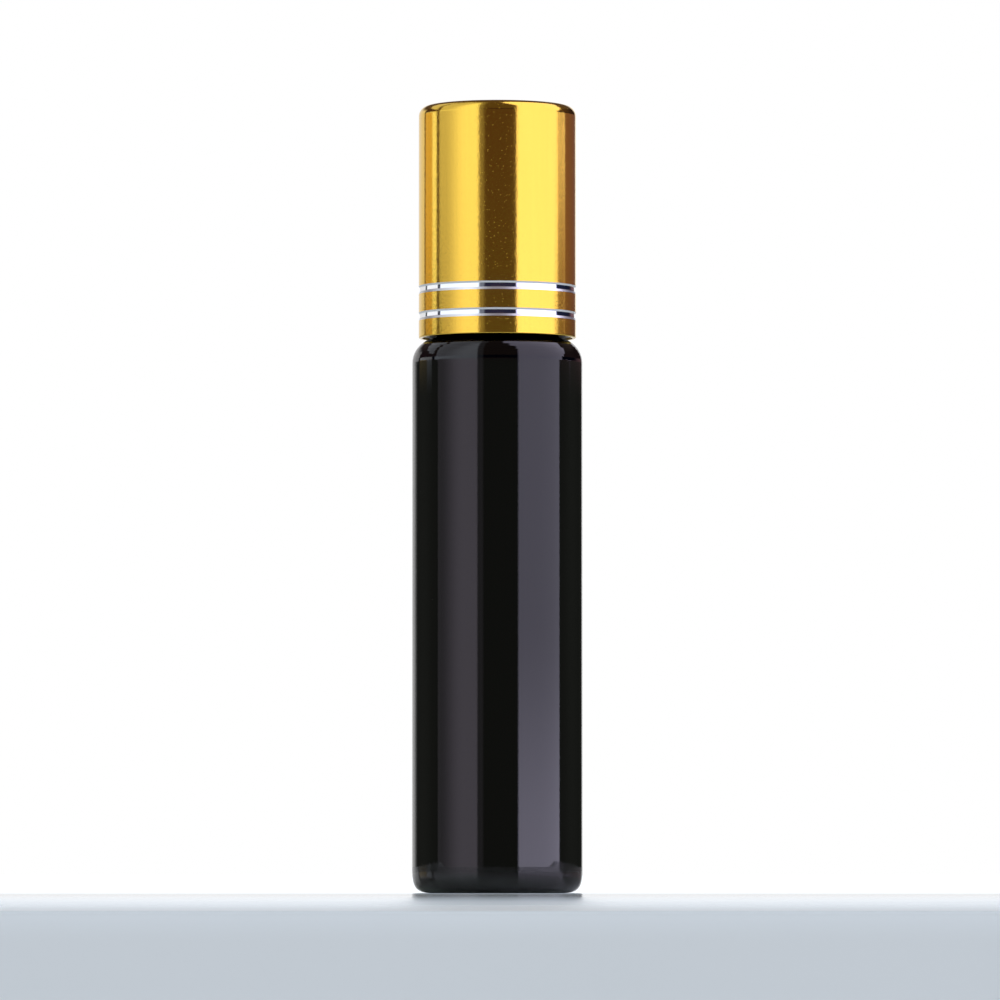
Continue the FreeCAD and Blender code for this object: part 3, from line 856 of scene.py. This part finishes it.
def table_material():
    """Pale satin table top; the camera sees it paler behind the object and along the front."""
    material, nodes = new_material("pale_table")
    place = nodes.add("ShaderNodeTexCoord").outputs["Object"]
    position = nodes.add("ShaderNodeSeparateXYZ", {0: place}).outputs
    depth = position["Y"]
    grain = nodes.noise(EVEN, TABLE_GRAIN_SIZE, detail=3.0)
    seen = nodes.add("ShaderNodeLightPath").outputs["Is Camera Ray"]
    front = nodes.ramp(depth, *TABLE_FRONT_GLOW_Y, TABLE_FRONT_GLOW, 0.0)
    dim = nodes.ramp(depth, *TABLE_FRONT_DIM_Y, TABLE_FRONT_DIM, 0.0)
    back = nodes.ramp(depth, *TABLE_BACK_GLOW_Y, 0.0, TABLE_BACK_GLOW)
    top = nodes.math("ADD", nodes.math("SUBTRACT", front, dim), back)
    face = nodes.ramp(position["Z"], -TABLE_FACE_GLOW_DEPTH, 0.0, 0.0, TABLE_FACE_GLOW)
    glow = nodes.ramp(nodes.facing_up(), *TABLE_GLOW_FACING, face, top)
    surface(nodes, {
        "Base Color": nodes.blend(grain, *TABLE_TONES),
        "Roughness": nodes.ramp(depth, TABLE_FRONT_Y, TABLE_SATIN_Y, *TABLE_ROUGHNESS, kind="LINEAR"),
        "Emission Color": TABLE_GLOW_COLOR,
        "Emission Strength": nodes.math("MULTIPLY", seen, glow),
    })
    return material


def make_table():
    """A long table top whose front edge is rounded."""
    front = arc((TABLE_FRONT_Y, -TABLE_EDGE), (TABLE_FRONT_Y + TABLE_EDGE, 0.0), TABLE_EDGE, RIGHT)
    section = [(TABLE_FRONT_Y, -TABLE_DEPTH)] + front + [(TABLE_BACK_Y, 0.0), (TABLE_BACK_Y, -TABLE_DEPTH)]
    count = len(section)
    verts = [(side * TABLE_HALF_WIDTH, y, z) for side in (-1, 1) for y, z in section]
    faces = [(i, (i + 1) % count, count + (i + 1) % count, count + i) for i in range(count)]
    faces += [tuple(range(count))[::-1], tuple(range(count, 2 * count))]
    table = add_mesh("table", verts, faces)
    table.data.materials.append(table_material())


class Studio:
    """The light that reaches the object from each direction, built from the direction's angles."""

    def __init__(self, nodes):
        self.nodes = nodes
        way = nodes.add("ShaderNodeTexCoord").outputs["Generated"]
        parts = nodes.add("ShaderNodeSeparateXYZ", {0: way}).outputs
        towards = nodes.math("MULTIPLY", parts["Y"], -1.0)
        self.around = nodes.math("DEGREES", nodes.math("ARCTAN2", parts["X"], towards))
        self.up = nodes.math("DEGREES", nodes.math("ARCSINE", parts["Z"]))
        height = nodes.math("MULTIPLY", parts["Z"], parts["Z"])
        level = nodes.math("SQRT", nodes.math("MAXIMUM", nodes.math("SUBTRACT", 1.0, height), TINY))
        self.sine = nodes.math("DIVIDE", parts["X"], nodes.math("SQRT", level))
        self.on_cap = nodes.ramp(self.up, *CAP_FOOT)
        self.band_view = self.seen_in_bands()

    def seen_in_bands(self):
        """One in the directions that the cap's turned bands mirror to the front."""
        half_turn = self.nodes.math("RADIANS", self.nodes.math("MULTIPLY", self.around, 0.5))
        lift = self.nodes.math("MULTIPLY", self.nodes.math("COSINE", half_turn), BAND_VIEW_LIFT)
        height = self.nodes.math("SUBTRACT", self.up, lift)
        zone = self.between(height, *BAND_VIEW_HEIGHTS, BAND_VIEW_SOFTNESS)
        behind = self.past(self.nodes.math("ABSOLUTE", self.around), BAND_VIEW_REACH)
        return self.times(zone, self.without(behind))

    def past(self, value, edge, softness=EDGE_SOFTNESS):
        """One where a value lies past an edge, and zero before it."""
        if isinstance(edge, bpy.types.NodeSocket):
            low = self.nodes.math("SUBTRACT", edge, softness)
            return self.nodes.ramp(value, low, self.nodes.math("ADD", edge, softness))
        return self.nodes.ramp(value, edge - softness, edge + softness)

    def between(self, value, low, high, softness=EDGE_SOFTNESS):
        after_low = self.past(value, low, softness)
        return self.nodes.math("SUBTRACT", after_low, self.past(value, high, softness))

    def at_heights(self, heights):
        return self.between(self.up, *heights, HEIGHT_SOFTNESS)

    def without(self, share):
        return self.nodes.math("SUBTRACT", 1.0, share)

    def times(self, *factors):
        product = factors[0]
        for factor in factors[1:]:
            product = self.nodes.math("MULTIPLY", product, factor)
        return product

    def plus(self, *terms):
        total = terms[0]
        for term in terms[1:]:
            total = self.nodes.math("ADD", total, term)
        return total

    def before_right_edge(self):
        """One inside the right softbox's far edge, which steps with height."""
        outer = RIGHT_OUTER
        for low, high, move in RIGHT_OUTER_STEPS:
            outer = self.plus(self.nodes.ramp(self.up, low, high, 0.0, move, kind="LINEAR"), outer)
        return self.without(self.past(self.around, outer))

    def right_box(self):
        """A large softbox that reaches overhead and is brighter at its foot."""
        inner = self.plus(self.nodes.ramp(self.up, *RIGHT_LEAN_HEIGHTS, 0.0, RIGHT_LEAN), RIGHT_SINE)
        front = self.past(self.sine, inner, SINE_SOFTNESS)
        level = self.nodes.ramp(self.up, 0.0, RIGHT_BRIGHT_FOOT, *RIGHT_LEVELS)
        return self.times(front, self.before_right_edge(), level)

    def right_fringe(self):
        """A dim glow beyond the right softbox."""
        beyond = self.times(self.past(self.around, RIGHT_OUTER), self.without(self.before_right_edge()))
        fade = self.nodes.ramp(self.around, *FRINGE_OUTER, 1.0, 0.0)
        return self.times(beyond, fade, self.at_heights(FRINGE_HEIGHTS))

    def left_gap(self):
        """A dark joint in the left softbox, which leans outwards overhead."""
        middle = self.nodes.ramp(self.up, *LEFT_GAP_HEIGHTS, *LEFT_GAP_MIDDLES)
        offset = self.nodes.math("SUBTRACT", self.around, middle)
        gap = self.between(offset, -LEFT_GAP_HALF_WIDTH, LEFT_GAP_HALF_WIDTH)
        return self.times(gap, self.nodes.ramp(self.up, *LEFT_GAP_START))

    def left_box(self):
        """A softbox that fades outwards, with a dim lip on its inner side, and wider overhead."""
        outer = self.nodes.ramp(self.up, *CAP_FOOT, *LEFT_OUTERS)
        outer = self.plus(outer, self.nodes.ramp(self.up, *LEFT_OUTER_RISE, 0.0, LEFT_OUTER_WIDENING))
        inside = self.times(self.past(self.around, outer), self.without(self.left_gap()))
        lit = self.without(self.past(self.sine, LEFT_SINE, SINE_SOFTNESS))
        lip = self.without(self.past(self.sine, LEFT_LIP_SINE, SINE_SOFTNESS))
        outer_level = self.nodes.ramp(self.up, *CAP_FOOT, *LEFT_OUTER_LEVELS)
        outer_level = self.plus(outer_level, self.times(self.band_view, LEFT_BAND_GAIN))
        inner_level = self.nodes.ramp(self.up, *CAP_FOOT, *LEFT_INNER_LEVELS)
        level = self.nodes.ramp(self.around, *LEFT_FADE, outer_level, inner_level)
        return self.times(inside, self.plus(self.times(lit, level), self.times(lip, LEFT_LIP_LEVEL)))

    def strip(self, edges, heights):
        """An upright light between two edges and two heights."""
        return self.times(self.between(self.around, *edges), self.at_heights(heights))

    def backdrop(self):
        """The backdrop's two sides, which take one level where they meet in the middle."""
        low_left = self.without(self.past(self.around, BACKDROP_LOW_LEFT, BACKDROP_LOW_SOFTNESS))
        high_left = self.without(self.past(self.around, BACKDROP_LEFT))
        widening = self.nodes.math("SUBTRACT", high_left, low_left)
        left = self.plus(low_left, self.times(self.on_cap, widening))
        right = self.past(self.around, BACKDROP_RIGHT)
        below = self.nodes.ramp(self.up, *BACKDROP_TOP, 1.0, 0.0)
        middle = self.nodes.math("ABSOLUTE", self.around)
        left_level = self.nodes.ramp(middle, *BACKDROP_MIDDLE, BACKDROP_LEFT_LEVEL, BACKDROP_MIDDLE_LEVEL)
        right_level = self.nodes.ramp(middle, *BACKDROP_MIDDLE, 1.0, BACKDROP_MIDDLE_LEVEL)
        return self.times(self.plus(self.times(left, left_level), self.times(right, right_level)), below)


def make_studio():
    """Two softboxes, a narrow strip and a white backdrop in a dim room; the camera sees plain white."""
    world = bpy.data.worlds.new("studio")
    bpy.context.scene.world = world
    world.use_nodes = True
    nodes = Nodes(world.node_tree)
    studio = Studio(nodes)

    def background(color, strength):
        return nodes.add("ShaderNodeBackground", {"Color": color, "Strength": strength}).outputs[0]

    lights = (
        (RIGHT_COLOR, studio.right_box()),
        (FRINGE_COLOR, studio.right_fringe()),
        (RIGHT_LINE_COLOR, studio.strip(RIGHT_LINE, FRINGE_HEIGHTS)),
        (nodes.blend(studio.on_cap, *LEFT_COLORS), studio.left_box()),
        (LEFT_COLORS[1], studio.times(studio.strip(STRIP, STRIP_HEIGHTS), STRIP_LEVEL)),
        (STRIP_CORE_COLOR, studio.strip(STRIP_CORE, STRIP_HEIGHTS)),
        (BACKDROP_COLOR, studio.times(studio.between(studio.around, *BAND_VIEW_STRIP), studio.band_view)),
        (BACKDROP_COLOR, studio.backdrop()),
    )
    room = nodes.blend(studio.on_cap, LOW_ROOM, ROOM)
    room = nodes.blend(studio.band_view, room, BAND_VIEW_ROOM)
    behind = nodes.ramp(nodes.math("ABSOLUTE", studio.around), *ROOM_FADE, 1.0, ROOM_BACK_LEVEL)
    overhead = nodes.ramp(studio.up, *OVERHEAD_HEIGHTS)
    room = nodes.blend(overhead, room, OVERHEAD_ROOM)
    light = background(room, nodes.math("MAXIMUM", behind, overhead))
    for color, strength in lights:
        light = nodes.add("ShaderNodeAddShader", {0: light, 1: background(color, strength)}).outputs[0]
    seen = nodes.add("ShaderNodeLightPath").outputs["Is Camera Ray"]
    shown = nodes.add("ShaderNodeMixShader", {0: seen, 1: light, 2: background(BACKDROP_COLOR, 1.0)})
    nodes.add("ShaderNodeOutputWorld", {"Surface": shown.outputs[0]})


make_glass_bottle()
make_ball_housing()
make_roller_ball()
make_seal_pad()
make_inner_cap()
make_cap_shell()
make_table()
make_studio()
make_camera()
bpy.context.scene.view_settings.view_transform = "Standard"

bpy.context.view_layer.update()
